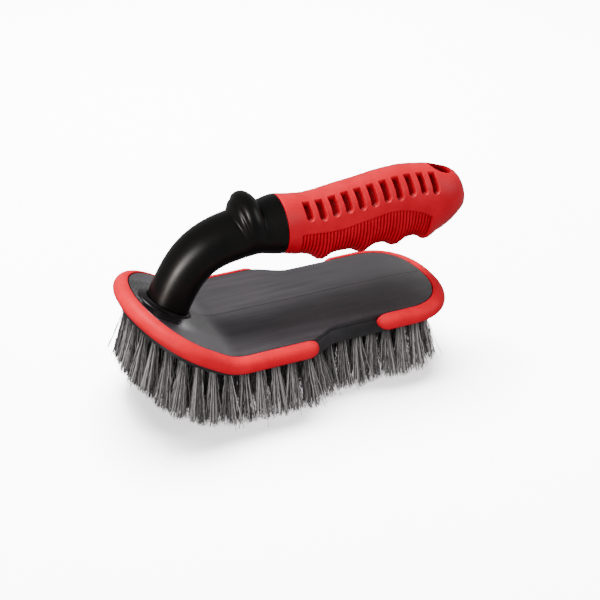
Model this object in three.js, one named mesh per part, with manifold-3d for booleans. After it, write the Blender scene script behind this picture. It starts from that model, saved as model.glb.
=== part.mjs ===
// A wheel brush: an upturned head with tufts of bristle, red bumpers round the nose and the tail,
// and a gooseneck handle that rises from the nose and runs back over the head as a soft grip.
// Millimetres, +Z up, +X from the nose to the tail of the grip, the XZ plane is the mirror plane.
// The finished group stands on its bristle tips, with the origin in the middle of its base.

import * as THREE from "three";
import { mergeVertices } from "three/addons/utils/BufferGeometryUtils.js";
import Module from "manifold-3d";

const wasm = await Module();
wasm.setup();

// ---------------------------------------------------------------- driving dimensions

const clearance = 0.3; // gap left between pieces that touch

// Head outline, laid out flat: s runs along the plate, y across it.
const noseReach = 97; // from the datum, in front of the waist, to the nose tip
const tailReach = 89.8; // from the datum to the tail tip
const frontHalfWidth = 44;
const rearHalfWidth = 34.9;
const noseRound = 31; // length of the nose's elliptical end
const tailRound = 27.8; // length of the tail's squarer end
const tailSquareness = 2.3; // exponent of the tail's superellipse
const waistStart = -5; // where the front lobe begins to narrow
const waistLength = 22;

// The nose end of the head bends up.
const bendStart = -42;
const bendRadius = 25; // of the deck's edge line
const bendAngle = THREE.MathUtils.degToRad(32);

// Head layers, measured down from the deck's edge.
const crown = 1.5; // rise of the deck's middle above its edge
const deckThickness = 3;
const headDepth = 12; // deck edge to the tuft block's underside

// Bumpers
const bumperWidth = 6.6; // how far they stand out from the wall
const bumperDrop = 9.2; // their lower edge below the deck's edge
const bumperTongue = 2.4; // how far the hidden tongue reaches under the deck
const tongueThickness = 2;
const noseBumperEnd = -0.4; // where the nose bumper's two arms stop
const tailBumperEnd = 41.5; // where the tail bumper's two arms stop
const armRounding = 5; // length of an arm's rounded end

// Bristles
const bristleLength = 31.5; // below the block on the flat part of the head
const tuftPitch = 9.2; // along the block's underside
const tuftInset = 6; // outermost tufts' centres from the wall
const edgeRunCount = 8; // runs of tufts that follow the wall
const holeRadius = 2;
const holeDepth = 5.5;
const rowHalfThickness = 3.1; // of a row of tufts at its tips, along the head
const tipOverlap = 0.6; // by which neighbouring tufts of a row run together at their tips
const tuftSides = 5;
const endReach = 4; // of a row's two end tufts, beyond their own centres
const noseLean = THREE.MathUtils.degToRad(11); // of the foremost row
const leanStart = -35; // rows ahead of this lean forward
const tipRiseStart = 48; // the trim line rises ahead of this distance from the datum
const tipRise = 24; // and gains this much height...
const tipRiseSpan = 53; // ...over this length

// Handle
const footFromNose = 20.6; // centre of the neck's foot from the nose tip, along the plate
const footRadius = 12.7;
const footSpigotRadius = 9.5;
const collarHeight = 1.2; // the deck's raised rim round the foot
const collarWidth = 1.2;
const neckLean = THREE.MathUtils.degToRad(25); // of the neck's axis at the foot
const neckRise = 32; // lengths of the neck curve's two handles
const neckSweep = 44;
const junctionX = -5; // where the neck ends and the grip begins
const junctionHeight = 52.2; // of the neck's axis above the deck's edge
const junctionRadius = 17.1;
const waistRadius = 14.4; // of the neck behind the thumb rest
const thumbRestHeight = 10;
const thumbRestLength = 16;
const thumbRestFromJunction = 19.4;
const spineWidth = 14; // of the core's tongue inside the grip
const spineHeight = 18;
const spineEndX = 82;
const spineEndHeight = 49.5;

// Grip
const gripLength = 119; // from the junction to the tail's tip
const slotCount = 11;
const slotPitch = 7.93;
const firstSlot = 14; // from the junction
const slotWidth = 4.5;
const slotDepth = 4;
const slotMiddle = THREE.MathUtils.degToRad(46); // above the grip's widest line
const slotSpan = THREE.MathUtils.degToRad(39); // of the section's turn that a slot takes
const hangHoleFromTip = 16.2;
const hangHoleWidth = 12.6;
const hangHoleLength = 13.8;

// Screws driven up through the block: a long one into the neck's foot, short ones into the deck
const screwRadius = 1.6;
const screwHeadRadius = 2.7;
const screwHeadHeight = 2.2;
const handleScrewGrip = 14; // thread length inside the foot
const coverScrewGrip = 3; // thread length inside the deck
const coverScrewsNear = [-35, 20, 68]; // s

// ---------------------------------------------------------------- materials

const finish = (color, roughness) => new THREE.MeshStandardMaterial({ color, roughness, metalness: 0 });
const deckPlastic = finish(0x464246, 0.62);
const blockPlastic = finish(0x2d2d2f, 0.55);
const neckPlastic = finish(0x0d0d0e, 0.32);
const redRubber = finish(0xe32626, 0.48);
const bristleNylon = finish(0x8c8a87, 0.7);
const screwSteel = new THREE.MeshStandardMaterial({ color: 0xb4b6ba, roughness: 0.35, metalness: 1 });

// ---------------------------------------------------------------- mesh helpers

// A closed body through rings of points: every ring has the same number of points, and flat fans
// close the two ends.
function loft(rings) {
  const around = rings[0].length;
  const positions = rings.flat().flatMap((p) => [p.x, p.y, p.z]);
  const index = [];
  for (let r = 0; r + 1 < rings.length; r++) {
    for (let k = 0; k < around; k++) {
      const a = r * around + k;
      const b = r * around + ((k + 1) % around);
      index.push(a, b, b + around, a, b + around, a + around);
    }
  }
  const last = (rings.length - 1) * around;
  for (let k = 1; k + 1 < around; k++) {
    index.push(0, k + 1, k);
    index.push(last, last + k, last + k + 1);
  }
  const geometry = new THREE.BufferGeometry();
  geometry.setAttribute("position", new THREE.Float32BufferAttribute(positions, 3));
  geometry.setIndex(index);
  return geometry;
}

// A closed geometry as a manifold-3d solid, turned right side out if its rings ran the other way.
function solid(geometry) {
  const bare = geometry.clone();
  bare.deleteAttribute("normal");
  bare.deleteAttribute("uv");
  const merged = mergeVertices(bare, 1e-4);
  const vertProperties = merged.attributes.position.array;
  const build = (triVerts) =>
    new wasm.Manifold(new wasm.Mesh({ numProp: 3, vertProperties, triVerts: new Uint32Array(triVerts) }));
  const made = build(merged.index.array);
  return made.volume() > 0 ? made : build(Array.from(merged.index.array).reverse());
}

function cut(body, tools) {
  return tools.reduce((rest, tool) => rest.subtract(tool), body);
}

function join(bodies) {
  return bodies.reduce((whole, body) => whole.add(body));
}

function geometryOf(body) {
  const mesh = body.getMesh();
  const geometry = new THREE.BufferGeometry();
  geometry.setAttribute("position", new THREE.BufferAttribute(new Float32Array(mesh.vertProperties), 3));
  geometry.setIndex(new THREE.BufferAttribute(new Uint32Array(mesh.triVerts), 1));
  geometry.computeVertexNormals();
  return geometry;
}

function piece(name, body, material) {
  const mesh = new THREE.Mesh(geometryOf(body), material);
  mesh.name = name;
  return mesh;
}

// ---------------------------------------------------------------- the head's plate

const smooth = (x) => THREE.MathUtils.smoothstep(x, 0, 1);

// Angle by which the plate has bent up at s.
const bendAt = (s) => THREE.MathUtils.clamp((bendStart - s) / bendRadius, 0, bendAngle);

// A point of the head: s along the plate, y across it, t up from the deck's edge.
function onPlate(s, y, t) {
  const angle = bendAt(s);
  const straight = Math.min(s - bendStart, 0) + bendRadius * angle;
  const x = Math.max(s, bendStart) - (bendRadius - t) * Math.sin(angle) + straight * Math.cos(angle);
  const z = bendRadius - (bendRadius - t) * Math.cos(angle) - straight * Math.sin(angle);
  return new THREE.Vector3(x, y, z);
}

// Places a tool whose own +Y is its axis: its origin at depth t on the plate, +Y along the plate's
// normal, or turned from it by a lean.
function plateTool(geometry, s, y, t, lean = 0) {
  const up = bendAt(s) - lean;
  const turn = new THREE.Matrix4().makeBasis(
    new THREE.Vector3(Math.cos(up), 0, -Math.sin(up)),
    new THREE.Vector3(Math.sin(up), 0, Math.cos(up)),
    new THREE.Vector3(0, -1, 0),
  );
  turn.setPosition(onPlate(s, y, t));
  return solid(geometry.clone().applyMatrix4(turn));
}

// Distance along the underside for s along the deck's edge, and back: the bend stretches it.
const stretch = (bendRadius + headDepth) / bendRadius;
const bendLength = bendRadius * bendAngle;

function toUnderside(s) {
  const inBend = THREE.MathUtils.clamp(bendStart - s, 0, bendLength);
  return s - inBend * (stretch - 1);
}

function fromUnderside(u) {
  const inBend = THREE.MathUtils.clamp((bendStart - u) / stretch, 0, bendLength);
  return u + inBend * (stretch - 1);
}

// Half-width of the head at s: two lobes joined by a smooth shoulder, with rounded ends.
function halfWidth(s) {
  const lobe = THREE.MathUtils.lerp(frontHalfWidth, rearHalfWidth, smooth((s - waistStart) / waistLength));
  const nose = THREE.MathUtils.clamp((noseRound - noseReach - s) / noseRound, 0, 1);
  const tail = THREE.MathUtils.clamp((s - tailReach + tailRound) / tailRound, 0, 1);
  return lobe * Math.sqrt(1 - nose ** 2) * (1 - tail ** tailSquareness) ** (1 / tailSquareness);
}

// Stations along the plate, closer together at the two ends and in the bend.
function stations() {
  const list = [];
  const steps = 32;
  for (let i = 1; i < steps; i++) {
    list.push(-noseReach + ((noseReach + tailReach) * (1 - Math.cos((Math.PI * i) / steps))) / 2);
  }
  for (let i = 0; i <= 5; i++) list.push(bendStart - (bendRadius * bendAngle * i) / 5);
  list.sort((a, b) => a - b);
  return list.filter((s, i) => i === 0 || s - list[i - 1] > 0.8);
}

// Points of the wall from an arm's end round the nose (or the tail) to the other arm's end, with
// their outward normals in the flat plate.
function wallRun(armEnd, tip) {
  const inward = Math.sign(tip - armEnd);
  const half = [0, 0.4, 1.2, 2.4, armRounding].map((d) => armEnd + inward * d);
  const beyond = stations().filter((s) => (s - armEnd) * inward > armRounding + 0.8);
  half.push(...beyond.sort((a, b) => (a - b) * inward));
  const side = half.map((s) => ({ s, y: halfWidth(s), fromEnd: Math.abs(s - armEnd) }));
  const run = [...side, { s: tip, y: 0, fromEnd: Math.abs(tip - armEnd) }];
  for (const p of side.slice().reverse()) run.push({ ...p, y: -p.y });
  return run.map((p, i) => {
    const before = run[Math.max(i - 1, 0)];
    const after = run[Math.min(i + 1, run.length - 1)];
    const along = new THREE.Vector2(after.s - before.s, after.y - before.y).normalize();
    const sense = Math.sign(armEnd - tip);
    return { ...p, normalS: -along.y * -sense, normalY: along.x * -sense };
  });
}

// A section of (outward, up) points carried along a wall run.
function alongWall(run, sectionAt) {
  const rings = run.map((p) =>
    sectionAt(p).map(([out, up]) => onPlate(p.s + p.normalS * out, p.y + p.normalY * out, up)),
  );
  return solid(loft(rings));
}

// ---------------------------------------------------------------- handle shapes

const footS = footFromNose - noseReach;
const foot = onPlate(footS, 0, crown);
const junction = new THREE.Vector3(junctionX, 0, junctionHeight);
const neckAxis = new THREE.CubicBezierCurve3(
  foot,
  foot.clone().add(new THREE.Vector3(Math.sin(neckLean), 0, Math.cos(neckLean)).multiplyScalar(neckRise)),
  junction.clone().add(new THREE.Vector3(-neckSweep, 0, 0)),
  junction,
);

const gripTipX = junctionX + gripLength;

// The grip's back and belly in the mirror plane, and its half-width, against distance from the
// junction; the last points close the rounded tail.
const gripBack = profile([
  [0, junctionHeight + junctionRadius],
  [9, junctionHeight + 15.7],
  [19, junctionHeight + 14.8],
  [43, junctionHeight + 17.4],
  [71, junctionHeight + 20.5],
  [85, junctionHeight + 19.9],
  [97, junctionHeight + 18],
  [gripLength - 13, junctionHeight + 15.2],
  [gripLength - 6, junctionHeight + 10.8],
  [gripLength - 2, junctionHeight + 4.6],
  [gripLength, junctionHeight - 2.6],
]);
const gripBelly = profile([
  [0, junctionHeight - junctionRadius],
  [11, junctionHeight - 20],
  [27, junctionHeight - 23.3],
  [60, junctionHeight - 23.6],
  [95, junctionHeight - 23.6],
  [gripLength - 15, junctionHeight - 21.8],
  [gripLength - 8, junctionHeight - 17.2],
  [gripLength - 2, junctionHeight - 13.2],
  [gripLength, junctionHeight - 10.4],
]);
const gripHalf = profile([
  [0, junctionRadius],
  [10, 15.9],
  [30, 16.5],
  [65, 17.4],
  [90, 17],
  [gripLength - 18, 16],
  [gripLength - 9, 13.2],
  [gripLength - 2.5, 8],
  [gripLength, 3],
]);
const fingerRidges = [24.2, 50.3, 71.5, 92]; // from the junction
const ridgeDrop = 4.4;
const ridgeWidth = 4.6;

// A smooth curve through (distance, value) points, read by distance.
function profile(points) {
  const curve = new THREE.SplineCurve(points.map(([d, v]) => new THREE.Vector2(d, v)));
  const samples = curve.getPoints(200);
  return (d) => {
    const i = samples.findIndex((p) => p.x >= d);
    if (i <= 0) return i < 0 ? samples[samples.length - 1].y : samples[0].y;
    const [a, b] = [samples[i - 1], samples[i]];
    return THREE.MathUtils.mapLinear(d, a.x, b.x, a.y, b.y);
  };
}

// The grip's section d behind the junction: centre height, half-height and half-width.
function gripSection(d) {
  const ridges = fingerRidges.reduce((sum, c) => sum + Math.exp(-(((d - c) / ridgeWidth) ** 2)), 0);
  const belly = gripBelly(d) - ridgeDrop * ridges;
  return { centre: (gripBack(d) + belly) / 2, halfHeight: (gripBack(d) - belly) / 2, half: gripHalf(d) };
}

// A ring of points round an axis point, an ellipse with the given half-axes, counted from the top.
function ring(centre, across, up, count, halfAcross, halfUp) {
  return Array.from({ length: count }, (_, k) => {
    const angle = (2 * Math.PI * k) / count;
    return centre
      .clone()
      .addScaledVector(up, halfUp * Math.cos(angle))
      .addScaledVector(across, halfAcross * Math.sin(angle));
  });
}

// ---------------------------------------------------------------- the head

// The head's outline, moved out by grow along its normals.
function outline(grow) {
  const wall = stations().map((s) => new THREE.Vector2(s, halfWidth(s)));
  return wall.map((p, i) => {
    const along = wall[Math.min(i + 1, wall.length - 1)].clone().sub(wall[Math.max(i - 1, 0)]).normalize();
    return new THREE.Vector2(p.x - along.y * grow, p.y + along.x * grow);
  });
}

// The head between two depths, its top crowned by a function of the share of the half-width.
function slab(topAt, bottomDepth, grow = 0) {
  const rings = outline(grow).map(({ x: s, y: half }) => {
    const top = [-1, -0.6, 0, 0.6, 1].map((k) => onPlate(s, k * half, topAt(k)));
    return [...top, onPlate(s, half, -bottomDepth), onPlate(s, -half, -bottomDepth)];
  });
  return solid(loft(rings));
}

// Screws stand on the centre line, in the gap between inner rows nearest the place wanted.
function screwPlace(wanted) {
  const rows = rowPlaces();
  const gaps = rows.slice(1).map((s, i) => (s + rows[i]) / 2);
  return gaps.sort((a, b) => Math.abs(a - wanted) - Math.abs(b - wanted))[0];
}

function deckCover() {
  const shell = slab((k) => crown * (1 - k * k), deckThickness);
  const socketRadius = footSpigotRadius + clearance;
  const collarOuter = footRadius + clearance + collarWidth;
  const collarTop = crown + collarHeight;
  const collarFoot = 2; // how deep the collar is rooted in the deck
  const collar = new THREE.CylinderGeometry(collarOuter, collarOuter + 0.6, collarHeight + collarFoot, 36);
  const seatRadius = footRadius + clearance;
  const seat = new THREE.CylinderGeometry(seatRadius, seatRadius, 2 * collarHeight, 36);
  const socket = new THREE.CylinderGeometry(socketRadius, socketRadius, 4 * deckThickness, 24);
  const withCollar = shell.add(plateTool(collar, footS, 0, (collarTop + crown - collarFoot) / 2));
  return cut(withCollar, [
    plateTool(seat, footS, 0, crown + collarHeight),
    plateTool(socket, footS, 0, 0),
    ...coverScrewsNear.map((near) => pilotHole(near, coverScrewGrip)),
  ]);
}

// Where the inner rows of tufts cross the centre line.
function rowPlaces() {
  const inset = tuftInset + tuftPitch + 1;
  const first = toUnderside(inset - noseReach);
  const last = toUnderside(tailReach - inset);
  const gaps = Math.round((last - first) / tuftPitch);
  return Array.from({ length: gaps + 1 }, (_, row) => fromUnderside(first + ((last - first) * row) / gaps));
}

// Half-width of the head at s, drawn in by an inset along the wall's normals.
function insetHalfWidth(s, inset) {
  const wall = outline(-inset);
  const i = wall.findIndex((p) => p.x >= s);
  if (i <= 0) return 0;
  return THREE.MathUtils.mapLinear(s, wall[i - 1].x, wall[i].x, wall[i - 1].y, wall[i].y);
}

// Straight inner rows: each lies across the head with an even number of tufts.
function innerRows() {
  return rowPlaces().map((s) => {
    const reach = insetHalfWidth(s, tuftInset + tuftPitch);
    const count = 2 * Math.max(1, Math.round(reach / tuftPitch + 0.5));
    const spacing = (2 * reach) / (count - 1);
    return Array.from({ length: count }, (_, k) => ({ s, y: -reach + k * spacing, alongS: 0, alongY: 1 }));
  });
}

// The outermost tufts follow the wall all the way round, in equal runs.
function edgeRuns() {
  const side = outline(-tuftInset).map((p) => new THREE.Vector2(toUnderside(p.x), -p.y));
  const nose = new THREE.Vector2(toUnderside(tuftInset - noseReach), 0);
  const tail = new THREE.Vector2(toUnderside(tailReach - tuftInset), 0);
  const back = side.map((p) => new THREE.Vector2(p.x, -p.y)).reverse();
  const loop = new THREE.SplineCurve([nose, ...side, tail, ...back, nose]);
  loop.arcLengthDivisions = 800;
  const perRun = Math.round(loop.getLength() / (edgeRunCount * tuftPitch));
  const total = edgeRunCount * perRun;
  return Array.from({ length: edgeRunCount }, (_, run) =>
    Array.from({ length: perRun }, (_, k) => {
      const u = (run * perRun + k + 0.5) / total;
      const place = loop.getPointAt(u);
      const along = loop.getTangentAt(u);
      return { s: fromUnderside(place.x), y: place.y, alongS: along.x, alongY: along.y };
    }),
  );
}

// How far the tufts at s lean forward from the vertical.
function leanAt(s) {
  return noseLean * THREE.MathUtils.clamp((leanStart - s) / (noseReach + leanStart), 0, 1);
}

function tuftBlock() {
  const top = -(deckThickness + clearance);
  const body = slab(() => top, headDepth);
  const holes = [...innerRows(), ...edgeRuns()].flat().map(({ s, y }) => {
    const drill = new THREE.CylinderGeometry(holeRadius, holeRadius, 2 * holeDepth, 6);
    return plateTool(drill, s, y, -headDepth, bendAt(s) - leanAt(s));
  });
  const screwHoles = [footS, ...coverScrewsNear].map(screwPlace).flatMap((s) => {
    const boreRadius = screwRadius + clearance;
    const shank = new THREE.CylinderGeometry(boreRadius, boreRadius, 3 * headDepth, 12);
    const headSeat = screwHeadRadius + clearance;
    const head = new THREE.CylinderGeometry(headSeat, headSeat, 2 * (screwHeadHeight + clearance), 12);
    return [plateTool(shank, s, 0, -headDepth), plateTool(head, s, 0, -headDepth)];
  });
  const rebates = [
    wallRun(noseBumperEnd + clearance, -noseReach),
    wallRun(tailBumperEnd - clearance, tailReach),
  ].map((run) => alongWall(run, rebateSection));
  return cut(body, [...holes, ...screwHoles, ...rebates]);
}

// The step in the block's top edge that takes a bumper's tongue.
function rebateSection() {
  const floor = -(deckThickness + tongueThickness + 2 * clearance);
  const inner = -(bumperTongue + clearance);
  const above = 1;
  return [
    [inner, floor],
    [2, floor],
    [2, -deckThickness + above],
    [inner, -deckThickness + above],
  ];
}

// A bumper's section: a tongue under the deck, a flat back against the wall, a top that slopes
// out from the deck's edge to a soft ridge, and a rounded outer face. Near an arm's end it draws
// in towards the wall.
function bumperSection(fromEnd) {
  const e = THREE.MathUtils.clamp(fromEnd / armRounding, 0, 1);
  const swell = 0.35 + 0.65 * Math.sqrt(1 - (1 - e) ** 2);
  const tongueTop = -(deckThickness + clearance);
  const tongueFloor = tongueTop - tongueThickness;
  const middle = (tongueTop + tongueFloor) / 2;
  const back = -0.4; // the untrimmed back's place
  const outside = [
    [back, -bumperDrop],
    [0.45 * bumperWidth, -bumperDrop],
    [0.74 * bumperWidth, -bumperDrop + 0.5],
    [0.95 * bumperWidth, -bumperDrop + 2],
    [bumperWidth, -bumperDrop + 4],
    [0.9 * bumperWidth, -bumperDrop + 6.2],
    [0.62 * bumperWidth, -0.9],
    [0.22 * bumperWidth, 0.1],
    [back, -0.1],
  ].map(([out, up]) => [back + (out - back) * swell, middle + (up - middle) * swell]);
  return [
    ...outside,
    [back, tongueTop],
    [-bumperTongue, tongueTop],
    [-bumperTongue, tongueFloor],
    [back, tongueFloor],
  ];
}

// The bumper's back is trimmed to the deck above its tongue and to the block below it.
function bumper(armEnd, tip) {
  const tongueTop = deckThickness + clearance;
  const beside = slab(() => 3, tongueTop, clearance);
  const below = slab(() => -(tongueTop + tongueThickness), headDepth, clearance);
  const whole = alongWall(wallRun(armEnd, tip), (p) => bumperSection(p.fromEnd));
  return cut(whole, [beside, below]);
}

// ---------------------------------------------------------------- bristles

const ground = -(headDepth + bristleLength);

// Height of the trimmed tips under a point x of the head.
function tipHeight(x) {
  const ahead = Math.max(0, -tipRiseStart - x) / tipRiseSpan;
  return ground + tipRise * ahead ** 2;
}

// A tuft's root and its trimmed tip.
function tuftEnds({ s, y }) {
  const root = onPlate(s, y, -headDepth);
  const lean = leanAt(s);
  const axis = new THREE.Vector3(-Math.sin(lean), 0, -Math.cos(lean));
  const length = (root.z - tipHeight(root.x)) / Math.cos(lean);
  return { root, axis, length, tip: root.clone().addScaledVector(axis, length) };
}

// One tuft: a straight root in its hole, then flaring to the tip, which reaches a distance before
// and after itself along the row.
function tuft(place, before, after) {
  const { root, axis, length } = tuftEnds(place);
  const along = new THREE.Vector3(place.alongS, place.alongY, 0);
  const outward = new THREE.Vector3(place.alongY, -place.alongS, 0);
  const rootRadius = holeRadius - clearance;
  const sections = [
    { depth: clearance - holeDepth, before: rootRadius, after: rootRadius, across: rootRadius },
    { depth: 0.5, before: rootRadius, after: rootRadius, across: rootRadius },
    { depth: length, before, after, across: rowHalfThickness },
  ];
  const rings = sections.map((section) =>
    Array.from({ length: tuftSides }, (_, k) => {
      const angle = (2 * Math.PI * k) / tuftSides;
      const share = Math.cos(angle);
      return root
        .clone()
        .addScaledVector(axis, section.depth)
        .addScaledVector(along, share * (share > 0 ? section.after : section.before))
        .addScaledVector(outward, section.across * Math.sin(angle));
    }),
  );
  return solid(loft(rings));
}

// One row as one body: its tufts stand apart in their holes and run together at the tips. The
// row's two end tufts stop short of the next row.
function tuftRow(places) {
  const tips = places.map((place) => tuftEnds(place).tip);
  const gap = (i) => (i > 0 && i < tips.length ? tips[i].distanceTo(tips[i - 1]) / 2 + tipOverlap : endReach);
  const toFlat = 1 / Math.cos(Math.PI / tuftSides); // a tuft has a flat before it, a corner after it
  return join(places.map((place, i) => tuft(place, gap(i) * toFlat, gap(i + 1))));
}

// ---------------------------------------------------------------- handle

// Height that the thumb rest adds at a point of the neck: a round lump over the back that fades
// down the two sides.
function thumbRest(x, angle) {
  const along = (x - (junctionX - thumbRestFromJunction)) / (thumbRestLength / 2);
  const around = Math.max(0, Math.cos(angle / 1.4));
  return thumbRestHeight * Math.max(0, 1 - along * along) ** 0.7 * around ** 4;
}

function neckRings() {
  const count = 20;
  const across = new THREE.Vector3(0, 1, 0);
  const plate = bendAt(footS);
  const footUp = new THREE.Vector3(-Math.cos(plate), 0, Math.sin(plate));
  const spigotEnd = onPlate(footS, 0, -deckThickness);
  const rings = [
    ring(spigotEnd, across, footUp, count, footSpigotRadius, footSpigotRadius),
    ring(onPlate(footS, 0, crown + clearance), across, footUp, count, footSpigotRadius, footSpigotRadius),
    ring(onPlate(footS, 0, crown + clearance), across, footUp, count, footRadius, footRadius),
  ];
  const steps = 28;
  for (let i = 1; i <= steps; i++) {
    const u = i / steps;
    const centre = neckAxis.getPointAt(u);
    const tangent = neckAxis.getTangentAt(u);
    const up = new THREE.Vector3(-tangent.z, 0, tangent.x);
    const flare = smooth((u - 0.8) / 0.2);
    const slimming = (waistRadius - footRadius) * smooth(u / 0.75);
    const radius = footRadius + slimming + (junctionRadius - waistRadius) * flare;
    rings.push(
      Array.from({ length: count }, (_, k) => {
        const angle = (2 * Math.PI * k) / count;
        const wrapped = Math.min(angle, 2 * Math.PI - angle);
        const r = radius + thumbRest(centre.x, wrapped);
        return centre
          .clone()
          .addScaledVector(up, r * Math.cos(angle))
          .addScaledVector(across, r * Math.sin(angle));
      }),
    );
  }
  return rings;
}

// The core's tongue inside the grip, cut a little larger where it is the grip's bore.
function spineRings(grow) {
  const across = new THREE.Vector3(0, 1, 0);
  const up = new THREE.Vector3(0, 0, 1);
  const end = new THREE.Vector3(spineEndX + grow, 0, spineEndHeight);
  const rounding = 4;
  const places = [
    [junction, 0],
    [end.clone().add(new THREE.Vector3(-rounding, 0, 0)), 0],
    [end.clone().add(new THREE.Vector3(-1, 0, 0)), 2],
    [end, 4],
  ];
  return places.map(([centre, inset]) =>
    ring(centre, across, up, 20, spineWidth / 2 + grow - inset, spineHeight / 2 + grow - inset),
  );
}

function handleCore() {
  const neck = solid(loft(neckRings()));
  const spine = solid(loft(spineRings(0)));
  return neck.add(spine).subtract(pilotHole(footS, handleScrewGrip));
}

// The hole that a screw's thread fills, from the deck's underside up.
function pilotHole(near, grip) {
  const radius = screwRadius + clearance;
  const hole = new THREE.CylinderGeometry(radius, radius, 2 * (grip + clearance), 12);
  return plateTool(hole, screwPlace(near), 0, -deckThickness);
}

// A screw: its pan head sunk in the block's underside, its shank up into the piece above.
function screw(near, grip) {
  const s = screwPlace(near);
  const headTop = -headDepth + screwHeadHeight;
  const buried = 0.2; // shank carried down into the head
  const length = headDepth - screwHeadHeight - deckThickness + grip + buried;
  const shank = new THREE.CylinderGeometry(screwRadius, screwRadius, length, 12);
  const head = new THREE.CylinderGeometry(screwHeadRadius, screwHeadRadius, screwHeadHeight, 12);
  const shankBody = plateTool(shank, s, 0, headTop - buried + length / 2);
  return plateTool(head, s, 0, headTop - screwHeadHeight / 2).add(shankBody);
}

// A blind slot in the grip's flank: square at its upper end and round at its lower end.
function slotTool(index, side) {
  const d = firstSlot + index * slotPitch;
  const section = gripSection(d);
  const half = slotWidth / 2;
  const slotLength = (slotSpan * (section.half + section.halfHeight)) / 2;
  const outline = new THREE.Shape();
  outline.moveTo(-half, slotLength / 2);
  outline.lineTo(-half, -slotLength / 2 + half);
  outline.absarc(0, -slotLength / 2 + half, half, Math.PI, 2 * Math.PI, false);
  outline.lineTo(half, slotLength / 2);
  outline.closePath();
  const depth = slotDepth + 8;
  const tool = new THREE.ExtrudeGeometry(outline, { depth, bevelEnabled: false, curveSegments: 3 });
  tool.translate(0, 0, -slotDepth);
  tool.rotateX(Math.PI / 2 - slotMiddle);
  tool.translate(
    junctionX + d,
    -section.half * Math.cos(slotMiddle),
    section.centre + section.halfHeight * Math.sin(slotMiddle),
  );
  if (side > 0) tool.scale(1, -1, 1);
  return solid(tool);
}

// The hole the brush hangs by: an oval straight down through the grip's tail.
function hangHole() {
  const straight = (hangHoleLength - hangHoleWidth) / 2;
  const half = hangHoleWidth / 2;
  const oval = new THREE.Shape();
  oval.absarc(straight, 0, half, -Math.PI / 2, Math.PI / 2, false);
  oval.absarc(-straight, 0, half, Math.PI / 2, (3 * Math.PI) / 2, false);
  oval.closePath();
  const tool = new THREE.ExtrudeGeometry(oval, { depth: 80, bevelEnabled: false, curveSegments: 8 });
  tool.translate(gripTipX - hangHoleFromTip, 0, junctionHeight - 40);
  return solid(tool);
}

function gripSleeve() {
  const start = junctionX + clearance;
  const up = new THREE.Vector3(0, 0, 1);
  const across = new THREE.Vector3(0, 1, 0);
  const steps = 26;
  const rings = Array.from({ length: steps + 1 }, (_, i) => {
    const d = clearance + (gripLength - clearance) * Math.sin((Math.PI / 2) * (i / steps) ** 0.8);
    const { centre, halfHeight, half } = gripSection(d);
    return ring(new THREE.Vector3(junctionX + d, 0, centre), across, up, 24, half, halfHeight);
  });
  const bore = spineRings(clearance);
  const mouth = bore[0].map((p) => p.clone().setX(start - 2));
  const slots = [-1, 1].flatMap((side) => Array.from({ length: slotCount }, (_, i) => slotTool(i, side)));
  return cut(solid(loft(rings)), [solid(loft([mouth, ...bore])), ...slots, hangHole()]);
}

// ---------------------------------------------------------------- assembly

const brush = new THREE.Group();
brush.add(piece("deck_cover", deckCover(), deckPlastic));
brush.add(piece("tuft_block", tuftBlock(), blockPlastic));
brush.add(piece("nose_bumper", bumper(noseBumperEnd, -noseReach), redRubber));
brush.add(piece("tail_bumper", bumper(tailBumperEnd, tailReach), redRubber));
brush.add(piece("handle_core", handleCore(), neckPlastic));
brush.add(piece("grip_sleeve", gripSleeve(), redRubber));
brush.add(piece("handle_screw", screw(footS, handleScrewGrip), screwSteel));
coverScrewsNear.forEach((near, i) => {
  brush.add(piece(`cover_screw_${i + 1}`, screw(near, coverScrewGrip), screwSteel));
});
const numbered = (name, i) => `${name}_${String(i + 1).padStart(2, "0")}`;
edgeRuns().forEach((run, i) => brush.add(piece(numbered("edge_tufts", i), tuftRow(run), bristleNylon)));
innerRows().forEach((row, i) => brush.add(piece(numbered("tuft_row", i), tuftRow(row), bristleNylon)));

// Stand the brush on its tips with the origin in the middle of its base.
const box = new THREE.Box3().setFromObject(brush);
brush.position.set(-(box.min.x + box.max.x) / 2, 0, -box.min.z);

export default brush;
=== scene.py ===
"""Looks of the wheel brush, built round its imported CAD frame.

Shapes are worked out in millimetres in the deck's own axes: x from the raised nose to the grip's tail,
y across the head, z up from the plane of the deck's edge. world() moves them into the frame in metres.
"""
import math

import bmesh
import bpy
import numpy as np
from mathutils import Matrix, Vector

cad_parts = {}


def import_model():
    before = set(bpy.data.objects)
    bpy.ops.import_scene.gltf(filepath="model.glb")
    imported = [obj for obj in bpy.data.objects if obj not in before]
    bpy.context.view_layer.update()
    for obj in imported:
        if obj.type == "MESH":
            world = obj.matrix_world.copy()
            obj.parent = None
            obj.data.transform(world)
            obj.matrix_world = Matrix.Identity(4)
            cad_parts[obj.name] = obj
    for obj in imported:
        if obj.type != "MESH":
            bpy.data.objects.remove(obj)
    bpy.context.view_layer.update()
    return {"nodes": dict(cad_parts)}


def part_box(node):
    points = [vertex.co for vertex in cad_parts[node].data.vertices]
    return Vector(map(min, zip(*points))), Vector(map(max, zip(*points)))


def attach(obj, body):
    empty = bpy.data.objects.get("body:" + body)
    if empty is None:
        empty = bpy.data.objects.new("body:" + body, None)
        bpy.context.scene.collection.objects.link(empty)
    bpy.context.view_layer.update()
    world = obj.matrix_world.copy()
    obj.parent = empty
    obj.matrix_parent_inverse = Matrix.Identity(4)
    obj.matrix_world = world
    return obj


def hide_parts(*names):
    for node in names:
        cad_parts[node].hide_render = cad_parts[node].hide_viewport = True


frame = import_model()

# ---------------------------------------------------------------- sizes, in mm

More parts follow.
